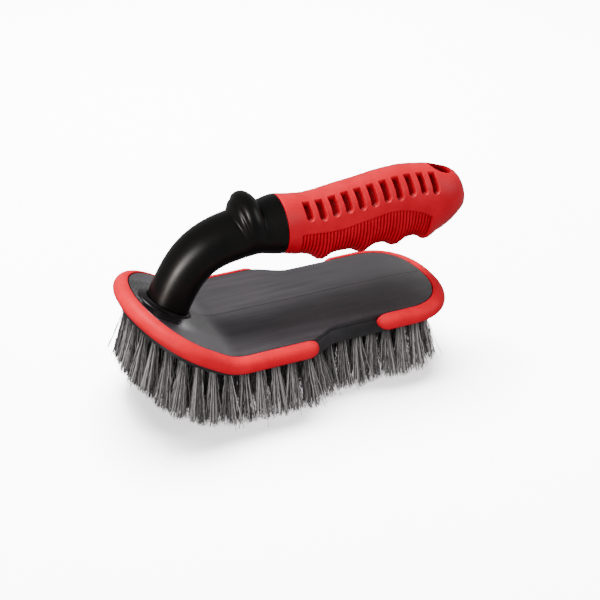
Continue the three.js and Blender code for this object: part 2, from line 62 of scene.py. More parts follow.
NOSE_REACH = 97.0
TAIL_REACH = 89.8
FRONT_HALF = 44.0
REAR_HALF = 34.9
NOSE_ROUND = 31.0
TAIL_ROUND = 27.8
TAIL_SQUARENESS = 2.3
WAIST_START = -5.0
WAIST_LENGTH = 22.0

BEND_START = -42.0
BEND_RADIUS = 25.0
BEND_ANGLE = math.radians(32)

CROWN = 1.5
DECK_THICKNESS = 3.0
HEAD_DEPTH = 12.0
GAP = 0.3
OUTLINE_POINTS = 3001

BUMPER_WIDTH = 6.6
BUMPER_DROP = 9.2
NOSE_ARM_END = -0.4
TAIL_ARM_END = 41.5
ARM_ROUNDING = 6.6
SECTION_MIDDLE = -3.9
TAIL_SWELL = 0.2
TAIL_SWELL_START = 58
TAIL_SWELL_LENGTH = 28

BRISTLE_LENGTH = 31.5
TUFT_PITCH = 9.2
TUFT_INSET = 6.0
EDGE_RUNS = 8
HOLE_RADIUS = 2.0
HOLE_DEPTH = 4.0
NOSE_LEAN = math.radians(11)
LEAN_START = -35.0
TIP_RISE_START = 48.0
TIP_RISE = 24.0
TIP_RISE_SPAN = 53.0
GROUND = -(HEAD_DEPTH + BRISTLE_LENGTH)

FOOT_S = 20.6 - NOSE_REACH
FOOT_RADIUS = 12.7
COLLAR_SIDES = 120
COLLAR_HEIGHT = CROWN - 0.55
NECK_LEAN = math.radians(25)
NECK_RISE = 32.0
NECK_SWEEP = 44.0
JUNCTION_X = -5.0
JUNCTION_Z = 52.2
JUNCTION_RADIUS = 17.1
WAIST_RADIUS = 14.4
REST_FROM_JUNCTION = 18.9
REST_HALF_LENGTH = 8.4
REST_HEIGHT = 9.2
REST_FOLD = 1.1

GRIP_LENGTH = 119.0
SLOT_COUNT = 11
SLOT_PITCH = 7.93
FIRST_SLOT = 14.0
SLOT_WIDTH = 4.5
SLOT_DEPTH = 4.0
SLOT_MIDDLE = math.radians(46)
SLOT_SPAN = math.radians(39)
HOLE_FROM_TIP = 16.2
HANG_WIDTH = 14.0
HANG_LENGTH = 14.6

# ---------------------------------------------------------------- places

MM = 0.001
grip_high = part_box("grip_sleeve")[1]
tuft_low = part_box("tuft_row_11")[0]
DATUM = np.array([grip_high[0] * 1000 - JUNCTION_X - GRIP_LENGTH, 0.0, tuft_low[2] * 1000 - GROUND])
rng = np.random.default_rng(7)


def world(p):
    """Points in the deck's axes, mm, as points of the frame, m."""
    return (np.asarray(p, float) + DATUM) * MM


def smooth(x):
    """Cubic step from 0 at 0 to 1 at 1."""
    x = np.clip(x, 0.0, 1.0)
    return x * x * (3 - 2 * x)


def bell(x, width):
    """Gaussian hump of height 1 and the given width."""
    return np.exp(-((x / width) ** 2))


def bend_at(s):
    """Angle by which the plate has bent up at s."""
    return np.clip((BEND_START - s) / BEND_RADIUS, 0.0, BEND_ANGLE)


def on_plate(s, y, t):
    """Point s along the bent plate, y across it and t up: flat, then an arc, then a straight slope."""
    angle = bend_at(s)
    straight = np.minimum(s - BEND_START, 0) + BEND_RADIUS * angle
    x = np.maximum(s, BEND_START) - (BEND_RADIUS - t) * np.sin(angle) + straight * np.cos(angle)
    z = BEND_RADIUS - (BEND_RADIUS - t) * np.cos(angle) - straight * np.sin(angle)
    return np.stack(np.broadcast_arrays(x, y, z), -1)


def half_width(s):
    """Half-width of the head: two lobes joined by a smooth shoulder, with rounded ends."""
    lobe = FRONT_HALF + (REAR_HALF - FRONT_HALF) * smooth((s - WAIST_START) / WAIST_LENGTH)
    nose = np.clip((NOSE_ROUND - NOSE_REACH - s) / NOSE_ROUND, 0, 1)
    tail = np.clip((s - TAIL_REACH + TAIL_ROUND) / TAIL_ROUND, 0, 1)
    return lobe * np.sqrt(1 - nose**2) * (1 - tail**TAIL_SQUARENESS) ** (1 / TAIL_SQUARENESS)


def cumulative(points):
    """Distance travelled along a polyline at each of its points."""
    return np.concatenate([[0], np.cumsum(np.linalg.norm(np.diff(points, axis=0), axis=1))])


def along(points, distances):
    """Points at given distances along a polyline."""
    travelled = cumulative(points)
    return np.stack([np.interp(distances, travelled, points[:, k]) for k in range(points.shape[1])], -1)


def polyline_length(points):
    """Sum of the lengths of a polyline's steps."""
    return float(np.linalg.norm(np.diff(points, axis=0), axis=1).sum())


def fine_outline():
    """The head's outline in the flat plate, from the nose tip along -y to the tail tip and back."""
    turn = np.linspace(0, np.pi, OUTLINE_POINTS)
    s = -NOSE_REACH + (NOSE_REACH + TAIL_REACH) * (1 - np.cos(turn)) / 2
    near = np.stack([s, -half_width(s)], -1)
    far = near[::-1] * [1, -1]
    return np.concatenate([near, far[1:]])


def normals_of(points, closed):
    """Outward normals of a counter-clockwise curve in the plane."""
    if closed:
        step = np.roll(points, -1, 0) - np.roll(points, 1, 0)
    else:
        step = np.gradient(points, axis=0)
    step /= np.linalg.norm(step, axis=1, keepdims=True)
    return np.stack([step[:, 1], -step[:, 0]], -1)


# ---------------------------------------------------------------- meshes


def grid_quads(rows, cols, wrap_rows=False):
    """Quads that join a grid of rows by cols points, laid row after row; each row closes on itself."""
    r = np.arange(rows if wrap_rows else rows - 1)[:, None]
    c = np.arange(cols)[None, :]
    r2, c2 = (r + 1) % rows, (c + 1) % cols
    corners = [r * cols + c, r * cols + c2, r2 * cols + c2, r2 * cols + c]
    return np.stack(np.broadcast_arrays(*corners), -1).reshape(-1, 4)


def mesh_of(name, points, quads):
    """A mesh from points in the deck's axes and an array of quads."""
    mesh = bpy.data.meshes.new(name)
    mesh.vertices.add(len(points))
    mesh.vertices.foreach_set("co", world(points).astype(np.float32).ravel())
    mesh.loops.add(quads.size)
    mesh.loops.foreach_set("vertex_index", quads.astype(np.int32).ravel())
    mesh.polygons.add(len(quads))
    mesh.polygons.foreach_set("loop_start", np.arange(0, quads.size, 4, dtype=np.int32))
    mesh.update(calc_edges=True)
    return mesh


def close_up(mesh):
    """Welds points that coincide, drops faces that have no area and turns the faces outward."""
    work = bmesh.new()
    work.from_mesh(mesh)
    bmesh.ops.remove_doubles(work, verts=work.verts, dist=2e-6)
    bmesh.ops.dissolve_degenerate(work, edges=work.edges, dist=1e-7)
    bmesh.ops.recalc_face_normals(work, faces=work.faces)
    work.to_mesh(mesh)
    work.free()


def put(name, mesh, slot, *nodes, material=None):
    """A finished piece: smooth shaded, riding the root body, standing for its CAD nodes."""
    mesh.shade_smooth()
    piece = bpy.data.objects.new(name, mesh)
    bpy.context.scene.collection.objects.link(piece)
    mesh.materials.append(material)
    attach(piece, "root")
    if nodes:
        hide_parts(*nodes)
    return piece


def lathe_rings(profile, count, place):
    """Rings of (radius, height) points turned about an axis; place maps (across, along, up) to a point."""
    turn = np.linspace(0, 2 * np.pi, count, endpoint=False)
    r, h = np.asarray(profile, float).T
    return place(r[:, None] * np.cos(turn), r[:, None] * np.sin(turn), h[:, None] + 0 * turn)


# ---------------------------------------------------------------- shader maths


class Socket:
    """Wraps an output socket so that arithmetic on it adds Math nodes."""

    def __init__(self, shader, link):
        self.shader, self.link = shader, link

    def _math(self, operation, *values):
        return self.shader.node("ShaderNodeMath", {"operation": operation}, *values)[0]

    def __add__(self, other):
        return self._math("ADD", self, other)

    __radd__ = __add__

    def __mul__(self, other):
        return self._math("MULTIPLY", self, other)

    __rmul__ = __mul__

    def __sub__(self, other):
        return self._math("SUBTRACT", self, other)

    def __rsub__(self, other):
        return self._math("SUBTRACT", other, self)

    def __pow__(self, other):
        return self._math("POWER", self, other)

    def __abs__(self):
        return self._math("ABSOLUTE", self)

    def step(self, low, high):
        """Smooth step of this value from low to high."""
        settings = {"interpolation_type": "SMOOTHSTEP"}
        return self.shader.node("ShaderNodeMapRange", settings, self, low, high, 0.0, 1.0)[0]


class Shader:
    """A material whose nodes are made by node() and joined to one Principled BSDF."""

    def __init__(self, name, **values):
        self.material = bpy.data.materials.new(name)
        self.material.use_nodes = True
        self.tree = self.material.node_tree
        self.bsdf = next(n for n in self.tree.nodes if n.type == "BSDF_PRINCIPLED")
        for key, value in values.items():
            self.bsdf.inputs[key.replace("_", " ")].default_value = value

    def node(self, kind, settings, *values, **named):
        """A node of a type: its settings first, then its sockets' values or links; returns its outputs."""
        made = self.tree.nodes.new(kind)
        for key, value in settings.items():
            setattr(made, key, value)
        for key, value in [*enumerate(values), *((k.replace("_", " "), v) for k, v in named.items())]:
            if isinstance(value, Socket):
                self.tree.links.new(value.link, made.inputs[key])
            else:
                made.inputs[key].default_value = value
        return [Socket(self, out) for out in made.outputs]

    def place(self):
        """Object coordinates, in metres, as (vector, x, y, z)."""
        vector = self.node("ShaderNodeTexCoord", {})[3]
        return (vector, *self.node("ShaderNodeSeparateXYZ", {}, vector))

    def attribute(self, name):
        """The number that the mesh carries under a name."""
        return self.node("ShaderNodeAttribute", {"attribute_name": name})[2]

    def stretched(self, vector, x, y, z):
        """The vector with each axis scaled."""
        return self.node("ShaderNodeVectorMath", {"operation": "MULTIPLY"}, vector, (x, y, z))[0]

    def noise(self, vector, scale, detail=3.0, roughness=0.55):
        """Noise from 0 to 1, about 0.5."""
        values = {"Scale": scale, "Detail": detail, "Roughness": roughness}
        return self.node("ShaderNodeTexNoise", {}, vector, **values)[0]

    def mix(self, share, low, high):
        """Colour from low to high by a share."""
        made = self.tree.nodes.new("ShaderNodeMix")
        made.data_type = "RGBA"
        for socket, value in ((made.inputs[0], share), (made.inputs[6], low), (made.inputs[7], high)):
            if isinstance(value, Socket):
                self.tree.links.new(value.link, socket)
            else:
                socket.default_value = value
        return Socket(self, made.outputs[2])

    def link(self, name, value):
        self.tree.links.new(value.link, self.bsdf.inputs[name])

    def bump(self, height, strength, distance):
        """Bump from a height field, distance in metres."""
        made = self.tree.nodes.new("ShaderNodeBump")
        made.inputs["Strength"].default_value = strength
        made.inputs["Distance"].default_value = distance
        self.tree.links.new(height.link, made.inputs["Height"])
        self.tree.links.new(made.outputs[0], self.bsdf.inputs["Normal"])


def rgb(red, green, blue):
    """A linear colour from display values of 0 to 255."""
    values = [c / 255 for c in (red, green, blue)]
    return (*[v / 12.92 if v <= 0.04045 else ((v + 0.055) / 1.055) ** 2.4 for v in values], 1.0)


def frame_x(s):
    """The frame's x, in metres, of the plate's middle line at s."""
    return float(world(on_plate(s, 0.0, 0.0))[0])


BLACK = rgb(8, 7, 8)
KNIT_HALF = 0.0002
KNIT_FADE = 0.0006
PAINTED_SHADE_RADIUS = (0.023, 0.032)
BUMP_DEPTH = 0.0002


def deck_material():
    """Matte charcoal plastic with fine lengthwise flow streaks and a knit line down the middle, with
    painted shade darkening it towards the tail and a painted dark patch for the neck's shade and reflection
    round the neck's foot.
    """
    shade = Shader("deck_plastic", Roughness=0.5, Specular_IOR_Level=0.4)
    vector, x, y, z = shade.place()
    streaks = shade.noise(shade.stretched(vector, 0.06, 1.0, 0.3), 420, 4)
    clouds = shade.noise(shade.stretched(vector, 0.35, 1.0, 1.0), 38, 2)
    grain = shade.noise(vector, 2600, 2)
    wander = shade.noise(shade.stretched(vector, 1.0, 0.0, 0.0), 30, 1)
    foot_back = frame_x(FOOT_S + 15.0)
    off_line = abs(y + (wander - 0.5) * MM).step(KNIT_HALF, KNIT_FADE)
    knit = (1 - off_line) * x.step(foot_back, foot_back + MM)
    tone = (streaks * 0.55 + clouds * 0.45).step(0.28, 0.75)
    colour = shade.mix(tone, rgb(27, 25, 28), rgb(57, 53, 58))
    # painted shade: the plate is darkened towards the tail, under the grip
    colour = shade.mix(x.step(0.005, 0.085) * 0.6, colour, rgb(22, 19, 21))
    # painted shade and reflection of the neck: a dark, glossier patch on the plate round the neck's foot,
    # on the nose side
    foot_x = frame_x(FOOT_S)
    from_foot = ((x - foot_x) * (x - foot_x) + y * y) ** 0.5
    painted_foot_shade = (1 - from_foot.step(*PAINTED_SHADE_RADIUS)) * (1 - x.step(foot_x - 0.002, foot_x + 0.012))
    colour = shade.mix(painted_foot_shade * 0.9, colour, BLACK)
    shade.link("Base Color", shade.mix(knit, colour, BLACK))
    shade.link("Roughness", streaks * 0.2 + 0.42 - painted_foot_shade * 0.3)
    shade.bump(streaks * 0.5 + grain * 0.35 - knit * 0.9, 0.35, BUMP_DEPTH)
    return shade.material


def plain_material(name, dark, light, roughness, grain_scale, bump, specular=0.5):
    """Moulded plastic: a faint mottle between two tones, uneven gloss and a fine grain."""
    shade = Shader(name, Roughness=roughness, Specular_IOR_Level=specular)
    vector = shade.place()[0]
    mottle = shade.noise(vector, 90, 3)
    grain = shade.noise(vector, grain_scale, 2)
    shade.link("Base Color", shade.mix(mottle.step(0.3, 0.7), dark, light))
    shade.link("Roughness", mottle * 0.16 + (roughness - 0.08))
    shade.bump(grain, bump, BUMP_DEPTH)
    return shade.material


def grip_material():
    """Satin red rubber, with painted shade darkening the floors of its slots and grooves and the wall of
    its hanging hole.
    """
    shade = Shader("grip_rubber", Specular_IOR_Level=0.16)
    vector = shade.place()[0]
    mottle = shade.noise(vector, 70, 3)
    grain = shade.noise(vector, 1400, 2)
    skin = shade.mix(mottle.step(0.3, 0.7), RED_DARK, RED_LIGHT)
    # painted shade: rib grooves darken with their depth, and the slots and the hanging hole darken further
    skin_with_groove_shade = shade.mix(shade.attribute("depth").step(0.3, 1.6) * 0.42, skin, RED_PAINTED_SHADE)
    shade.link("Base Color", shade.mix(shade.attribute("depth").step(2.0, 4.0) * 0.85, skin_with_groove_shade, RED_PAINTED_SHADE))
    shade.link("Roughness", mottle * 0.16 + 0.32)
    shade.bump(grain, 0.08, BUMP_DEPTH)
    return shade.material


def bristle_material():
    """Grey nylon: a tone of its own for each filament, with painted shade darkening it towards the root."""
    shade = Shader("bristle_nylon", Roughness=0.45, Specular_IOR_Level=0.45)
    tone = shade.attribute("tone")
    reach = shade.attribute("reach")
    colour = shade.mix(tone, rgb(34, 33, 35), rgb(206, 201, 200))
    # painted shade: the filaments darken towards the root, under the block
    shade.link("Base Color", shade.mix((1 - reach.step(-0.1, 0.45)) * 0.8, colour, rgb(38, 37, 38)))
    return shade.material


def steel_material():
    """Brushed steel for the screws."""
    shade = Shader("screw_steel", Metallic=1.0, Roughness=0.35)
    vector = shade.place()[0]
    brushed = shade.noise(shade.stretched(vector, 1.0, 1.0, 0.1), 1800, 2)
    shade.link("Base Color", shade.mix(brushed, rgb(150, 152, 156), rgb(205, 207, 210)))
    shade.link("Roughness", brushed * 0.2 + 0.25)
    return shade.material


RED_DARK = (0.52, 0.0, 0.012, 1.0)
RED_LIGHT = (0.64, 0.0, 0.016, 1.0)
# colour of the painted shade in the grip's grooves, slots and hanging hole
RED_PAINTED_SHADE = (0.18, 0.0, 0.005, 1.0)
BUMPER_DARK = (0.66, 0.0, 0.014, 1.0)
BUMPER_LIGHT = (0.78, 0.0, 0.018, 1.0)
BLOCK_TONES = rgb(30, 29, 31), rgb(42, 40, 43)
NECK_TONES = rgb(4, 3, 3), rgb(7, 6, 5)
DECK = deck_material()
BLOCK = plain_material("block_plastic", *BLOCK_TONES, 0.5, 1500, 0.12, 0.3)
NECK = plain_material("neck_plastic", *NECK_TONES, 0.33, 1500, 0.05, 0.2)
BUMPER = plain_material("bumper_rubber", BUMPER_DARK, BUMPER_LIGHT, 0.5, 1400, 0.08, 0.1)
GRIP = grip_material()
BRISTLE = bristle_material()
STEEL = steel_material()

# ---------------------------------------------------------------- the head


def shell_of_plate(name, rim, ring_shares, top_at, bottom):
    """A closed plate: a flat floor, a rim profile of (outward, up), then a top that shrinks to a spine."""
    outline = along(fine_outline(), np.linspace(0, polyline_length(fine_outline()), 521)[:-1])
    out = normals_of(outline, True)
    spine = np.stack([np.clip(outline[:, 0], -64, 60), 0 * outline[:, 1]], -1)
    rings = [(spine, bottom)]
    rings += [(outline + out * off, up) for off, up in rim]
    inner = outline + out * rim[-1][0]
    rings += [(spine + (inner - spine) * share, top_at(share)) for share in ring_shares]
    points = np.concatenate([on_plate(ring[:, 0], ring[:, 1], up) for ring, up in rings])
    mesh = mesh_of(name, points, grid_quads(len(rings), len(outline)))
    close_up(mesh)
    return mesh


def make_deck():
    """The crowned cover: a thin wall, a small round rim and a top that rises as 1 - share squared."""
    rim = [(0.0, -DECK_THICKNESS), (0.0, -0.45), (-0.05, -0.2), (-0.18, -0.06), (-0.42, 0.0)]
    shares = 1 - np.linspace(0.02, 1, 26) ** 1.3
    mesh = shell_of_plate("deck_cover_skin", rim, shares, lambda k: CROWN * (1 - k * k), -DECK_THICKNESS)
    put("deck_cover_skin", mesh, "deck_plastic", "deck_cover", material=DECK)


COLLAR_PROFILE = [
    *[(13.05, -1.0), (13.05, 1.0), (13.2, 1.22), (13.6, 1.3), (14.1, 1.2)],
    *[(14.5, 0.9), (15.2, 0.35), (16.4, 0.05), (17.6, -0.4), (17.6, -1.0)],
]


def make_collar():
    """The ring round the neck's foot: a profile of (radius, height) turned about the plate's upright."""
    rings = lathe_rings(
        COLLAR_PROFILE, COLLAR_SIDES, lambda a, b, up: on_plate(FOOT_S + a, b, COLLAR_HEIGHT + up)
    )
    quads = grid_quads(len(COLLAR_PROFILE), COLLAR_SIDES, wrap_rows=True)
    collar = mesh_of("foot_collar", rings.reshape(-1, 3), quads)
    close_up(collar)
    put("foot_collar", collar, "deck_plastic", material=NECK)


def make_block():
    """The tuft block: a wall with a little draft under the deck, and a flat underside."""
    top = -(DECK_THICKNESS + GAP)
    foot = -HEAD_DEPTH
    rim = [(0.25, foot), (0.45, foot + 0.15), (0.5, foot + 0.5), (0.05, top - 0.4), (-0.3, top)]
    mesh = shell_of_plate("tuft_block_skin", rim, [0.6, 0.3, 0.0], lambda k: top, -HEAD_DEPTH)
    put("tuft_block_skin", mesh, "block_plastic", "tuft_block", material=BLOCK)


def bumper_section():
    """The bumper's section as (outward, up): a sloped top, a full round face and a flat back."""
    corners = np.array(
        [
            (GAP, -BUMPER_DROP + 0.5),
            (0.9, -BUMPER_DROP),
            (0.45 * BUMPER_WIDTH, -BUMPER_DROP),
            (0.76 * BUMPER_WIDTH, -BUMPER_DROP + 0.6),
            (0.95 * BUMPER_WIDTH, -BUMPER_DROP + 2.0),
            (BUMPER_WIDTH, -BUMPER_DROP + 3.9),
            (0.93 * BUMPER_WIDTH, -BUMPER_DROP + 6.0),
            (0.74 * BUMPER_WIDTH, -1.4),
            (0.46 * BUMPER_WIDTH, -0.3),
            (0.2 * BUMPER_WIDTH, 0.12),
            (GAP + 0.35, 0.1),
            (GAP + 0.1, -0.3),
        ]
    )
    return catmull(corners, 5)


def catmull(points, steps):
    """A smooth open curve through points, each span cut into steps."""
    padded = np.concatenate([points[:1] * 2 - points[1:2], points, points[-1:] * 2 - points[-2:-1]])
    t = np.linspace(0, 1, steps, endpoint=False)[None, :, None]
    a, b, c, d = padded[:-3, None], padded[1:-2, None], padded[2:-1, None], padded[3:, None]
    square, cube = 2 * a - 5 * b + 4 * c - d, 3 * b - a - 3 * c + d
    curve = 0.5 * (2 * b + (c - a) * t + square * t**2 + cube * t**3)
    return np.concatenate([curve.reshape(-1, points.shape[1]), points[-1:]])


def make_bumper(name, node, keep, from_tail=False):
    """The section carried along the wall round one end; near each arm's end it shrinks as a quarter round.

    The outline starts at the nose tip, so a run that crosses that tip is read from the tail instead.
    """
    outline = fine_outline()
    if from_tail:
        outline = np.concatenate([outline[OUTLINE_POINTS - 1 :], outline[1:OUTLINE_POINTS]])
    run = outline[keep(outline[:, 0])]
    total = polyline_length(run)
    ends = ARM_ROUNDING * (1 - np.cos(np.linspace(0, np.pi / 2, 16)))
    middle = np.linspace(ARM_ROUNDING, total - ARM_ROUNDING, 300)[1:-1]
    reach = np.concatenate([ends, middle, total - ends[::-1]])
    centre = along(run, reach)
    out = normals_of(centre, False)
    from_end = np.minimum(reach, total - reach) / ARM_ROUNDING
    swell = np.sqrt(np.clip(1 - (1 - np.clip(from_end, 0, 1)) ** 2, 0, 1))[:, None]
    section = bumper_section()
    wide = 1 + TAIL_SWELL * smooth((centre[:, :1] - TAIL_SWELL_START) / TAIL_SWELL_LENGTH)
    off = GAP + (section[:, 0] - GAP) * swell * wide
    up = SECTION_MIDDLE + (section[:, 1] - SECTION_MIDDLE) * swell
    s = centre[:, :1] + out[:, :1] * off
    y = centre[:, 1:] + out[:, 1:] * off
    points = on_plate(s, y, up).reshape(-1, 3)
    mesh = mesh_of(name, points, grid_quads(len(reach), len(section)))
    close_up(mesh)
    put(name, mesh, "red_rubber", node, material=BUMPER)


# ---------------------------------------------------------------- the handle


def bezier(u, a, b, c, d):
    """Cubic curve and its tangent at shares u."""
    u = np.asarray(u)[:, None]
    point = a * (1 - u) ** 3 + 3 * b * u * (1 - u) ** 2 + 3 * c * u**2 * (1 - u) + d * u**3
    tangent = 3 * (b - a) * (1 - u) ** 2 + 6 * (c - b) * u * (1 - u) + 3 * (d - c) * u**2
    return point, tangent / np.linalg.norm(tangent, axis=1, keepdims=True)


FOOT = on_plate(FOOT_S, 0.0, CROWN)
JUNCTION = np.array([JUNCTION_X, 0.0, JUNCTION_Z])


def neck_axis(u):
    """The neck's curve: it leaves the foot at a lean and reaches the grip level."""
    lean = np.array([math.sin(NECK_LEAN), 0.0, math.cos(NECK_LEAN)])
    return bezier(u, FOOT, FOOT + lean * NECK_RISE, JUNCTION - [NECK_SWEEP, 0, 0], JUNCTION)


def even_shares(count):
    """Shares at which points of the neck's axis are evenly spaced."""
    fine = np.linspace(0, 1, 2001)
    points = neck_axis(fine)[0]
    travelled = cumulative(points)
    return np.interp(np.linspace(0, travelled[-1], count), travelled, fine), travelled[-1]


def thumb_rest(x, angle):
    """Rise of the thumb rest: a saddle ridge across the neck that fades down its flanks."""
    across = np.abs(angle)
    centre = JUNCTION_X - REST_FROM_JUNCTION + 1.0 * smooth(across / 1.6)
    half = REST_HALF_LENGTH - 2.3 * smooth(across / 1.5)
    u = np.clip(np.abs(x - centre) / half, 0, 1)
    ridge = (1 - u**2.2) ** 1.1
    height = REST_HEIGHT * np.clip(np.cos(across / 1.3), 0, 1) ** 2.2
    fold = REST_FOLD * bell(x - (centre - 0.55 * half), 0.9) * bell(across - 0.75, 0.55)
    return height * ridge - fold


def make_neck():
    """A tube along the neck's axis: slim at its foot, a thumb rest over its back, flared to the grip."""
    rows, cols = 300, 200
    shares, length = even_shares(rows)
    centre, tangent = neck_axis(shares)
    even = np.linspace(0, 1, rows)
    plate = float(bend_at(np.array(FOOT_S)))
    level = np.array([math.sin(plate), 0, math.cos(plate)])
    square = smooth(even / 0.09)[:, None]
    normal = level * (1 - square) + tangent * square
    normal /= np.linalg.norm(normal, axis=1, keepdims=True)
    up = np.stack([-normal[:, 2], 0 * even, normal[:, 0]], -1)
    radius = FOOT_RADIUS + (WAIST_RADIUS - FOOT_RADIUS) * smooth(even / 0.75)
    radius = radius + (JUNCTION_RADIUS - WAIST_RADIUS) * smooth((even - 0.8) / 0.2)
    angle = np.linspace(0, 2 * np.pi, cols, endpoint=False)
    wrapped = np.minimum(angle, 2 * np.pi - angle)
    r = radius[:, None] + thumb_rest(centre[:, :1], wrapped[None, :])
    end_round = 0.45
    last = np.clip(1 - (1 - even) * length / end_round, 0, 1)[:, None]
    r = r - end_round * (1 - np.sqrt(1 - last**2))
    points = centre[:, None] + up[:, None] * (r * np.cos(angle))[..., None]
    points = points + np.array([0, 1.0, 0]) * (r * np.sin(angle))[..., None]
    foot_cap = np.broadcast_to(FOOT - level * 1.0, (1, cols, 3))
    sunk = points[:1] - level * 1.0
    points = np.concatenate([foot_cap, sunk, points, np.broadcast_to(JUNCTION, (1, cols, 3))])
    mesh = mesh_of("neck_skin", points.reshape(-1, 3), grid_quads(rows + 3, cols))
    close_up(mesh)
    put("neck_skin", mesh, "neck_plastic", "handle_core", material=NECK)


def spline_profile(points):
    """A smooth curve through (distance, value) points, as a function of distance."""
    curve = catmull(np.array(points, float), 24)
    return lambda d: np.interp(d, curve[:, 0], curve[:, 1])


L = GRIP_LENGTH
GRIP_BACK = spline_profile(
    [(0, 17.1), (9, 15.7), (19, 14.8), (43, 17.4), (71, 20.5), (85, 19.9), (97, 18)]
    + [(L - 13, 15.2), (L - 6, 10.8), (L - 2, 4.6), (L, -2.6)]
)
GRIP_BELLY = spline_profile(
    [(0, -17.4), (11, -20.6), (27, -23.9), (60, -24.5), (95, -24.1)]
    + [(L - 15, -21.8), (L - 8, -17.2), (L - 2, -13.2), (L, -10.4)]
)
GRIP_HALF = spline_profile(
    [(0, 17.1), (10, 15.9), (30, 16.5), (65, 17.4), (90, 17)]
    + [(L - 18, 16), (L - 9, 13.2), (L - 2.5, 8), (L, 3)]
)
FINGER_RIDGES = (24.2, 50.3, 71.5, 92.0)
RIDGE_DROP = 3.8
RIDGE_WIDTH = 4.6
RIB_START = 9.4
RIB_END = 90.2
RIB_PITCH = 2.07
RIB_TOP = spline_profile(
    [(0, -1.6), (9, -2.1), (22, -3.1), (29, -3.2), (36, -2.7), (43, -1.3), (50, -0.3), (57, 0.9)]
    + [(64, 1.7), (72, 0.9), (79, -1.0), (87, -4.6), (92, -7.5), (L, -14)]
)


def slot_field(d, rise, mean_radius):
    """Distance inside a slot's outline, in mm: square at its upper end and round at its lower end."""
    up = (rise - SLOT_MIDDLE) * mean_radius
    leaned = d - FIRST_SLOT - 0.2 + 0.05 * np.clip(up, -9, 9)
    nearest = np.clip(np.round(leaned / SLOT_PITCH), 0, SLOT_COUNT - 1)
    across = np.abs(leaned - nearest * SLOT_PITCH)
    half = SLOT_WIDTH / 2
    half_length = SLOT_SPAN * mean_radius / 2
    below = np.minimum(up + half_length - half, 0)
    inside = half - np.hypot(across, below)
    return np.minimum(inside, half_length - up)


def rib_zone(d, height):
    """Share of the ribbed panel at a point of the flank: under a line that climbs towards the tail."""
    top = RIB_TOP(d)
    ends = smooth((d - RIB_START + 1.2) / 1.0) * smooth((RIB_END + 0.6 - d) / 0.8)
    return smooth((top - height) / 0.7) * ends


def grip_relief(d, rise, height, mean_radius):
    """Depth of the moulding below the plain skin: slots, rolled slot rims and the ribbed panel."""
    inside = slot_field(d, rise, mean_radius)
    slot = SLOT_DEPTH * smooth((inside + 0.1) / 0.45)
    rim = -0.16 * bell(inside + 0.45, 0.3)
    zone = rib_zone(d, height)
    wave = 0.5 + 0.5 * np.cos(2 * np.pi * (d - RIB_START) / RIB_PITCH)
    end_groove = 0.9 * bell(d - RIB_END + 0.3, 0.8)
    return slot + rim + zone * (0.35 + 1.1 * wave**1.3 + end_groove)


def make_grip():
    """The sleeve's skin: an oval whose height and width follow profiles, pressed in by the relief field."""
    columns = 236
    base = np.linspace(0, L - 0.05, 340)
    walls = FIRST_SLOT + SLOT_PITCH * np.arange(SLOT_COUNT)[:, None] + np.array([-2.35, -2.1, 2.1, 2.35])
    tail = L - 0.05 - 3 * (1 - np.cos(np.linspace(0, np.pi / 2, 12)))
    d = np.unique(np.concatenate([base, walls.ravel(), tail, [0.15, 0.3]]))
    angle = np.linspace(0, 2 * np.pi, columns, endpoint=False)
    ridges = sum(bell(d - c, RIDGE_WIDTH) for c in FINGER_RIDGES)
    back, belly = GRIP_BACK(d), GRIP_BELLY(d) - RIDGE_DROP * ridges
    centre, half_height, half = (back + belly) / 2, (back - belly) / 2, GRIP_HALF(d)
    rise = np.where(np.cos(angle) >= 0, 1, -1) * np.arccos(np.clip(np.abs(np.sin(angle)), 0, 1))
    mean_radius = ((half + half_height) / 2)[:, None]
    height = centre[:, None] + half_height[:, None] * np.cos(angle)
    relief = grip_relief(d[:, None], rise[None, :], height, mean_radius)
    lip = 0.5 * (1 - np.sqrt(1 - np.clip(1 - d / 0.5, 0, 1) ** 2))[:, None]
    ny = np.sin(angle) / half[:, None]
    nz = np.cos(angle) / half_height[:, None]
    size = np.hypot(ny, nz)
    y = half[:, None] * np.sin(angle) - (relief + lip) * ny / size
    z = (JUNCTION_Z + centre)[:, None] + half_height[:, None] * np.cos(angle) - (relief + lip) * nz / size
    start = JUNCTION_X + GAP
    x = np.broadcast_to((start + d * (L - GAP) / L)[:, None], y.shape)
    points = np.stack([x, y, z], -1)
    front = np.broadcast_to([[start, 0, JUNCTION_Z]], (1, columns, 3))
    tip = np.broadcast_to([[JUNCTION_X + L, 0, float(z[-1].mean())]], (1, columns, 3))
    points = np.concatenate([front, points, tip])
    mesh = mesh_of("grip_skin", points.reshape(-1, 3), grid_quads(len(d) + 2, columns))
    # the relief's depth is kept on the mesh as an attribute that paints shade into the slots and grooves
    depth = np.concatenate([relief[:1] * 0, relief, relief[:1] * 0]).ravel()
    layer = mesh.attributes.new("depth", "FLOAT", "POINT")
    layer.data.foreach_set("value", depth.astype(np.float32))
    close_up(mesh)
    return cut_hang_hole(mesh)


def from_hole(points):
    """Distance from the hanging hole's outline, positive outside it."""
    x = points[..., 0] - (JUNCTION_X + L - HOLE_FROM_TIP)
    beyond = np.maximum(np.abs(x) - (HANG_LENGTH - HANG_WIDTH) / 2, 0)
    return np.hypot(beyond, points[..., 1]) - HANG_WIDTH / 2


